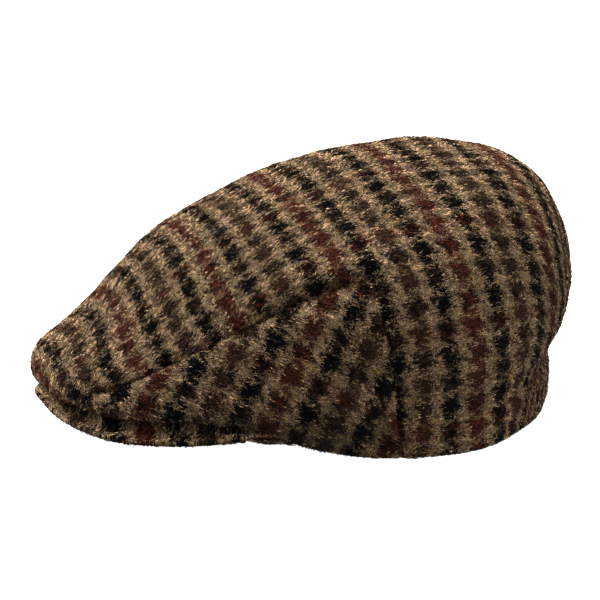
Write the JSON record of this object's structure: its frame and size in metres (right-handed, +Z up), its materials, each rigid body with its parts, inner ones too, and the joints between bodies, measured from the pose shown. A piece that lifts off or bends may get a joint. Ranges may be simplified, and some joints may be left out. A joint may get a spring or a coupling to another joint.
{
  "type": "flat cap",
  "caption": "Soft flat cap with a rounded crown that runs forward over a short stiff peak, side gussets and an open underside for the head.",
  "frame": {"origin": "on the plane the rim rests on, under the middle of the cap's bounding box", "axes": "+Z up through the crown, -Y toward the peak, +X toward the wearer's left"},
  "size_m": [0.1974, 0.2634, 0.1307],
  "materials": {
    "tweed": "matt brushed wool, houndstooth check"
  },
  "bodies": {
    "root": {"top_panel": "tweed", "side_panel_left": "tweed", "side_panel_right": "tweed", "peak": "tweed"}
  },
  "joints": []
}
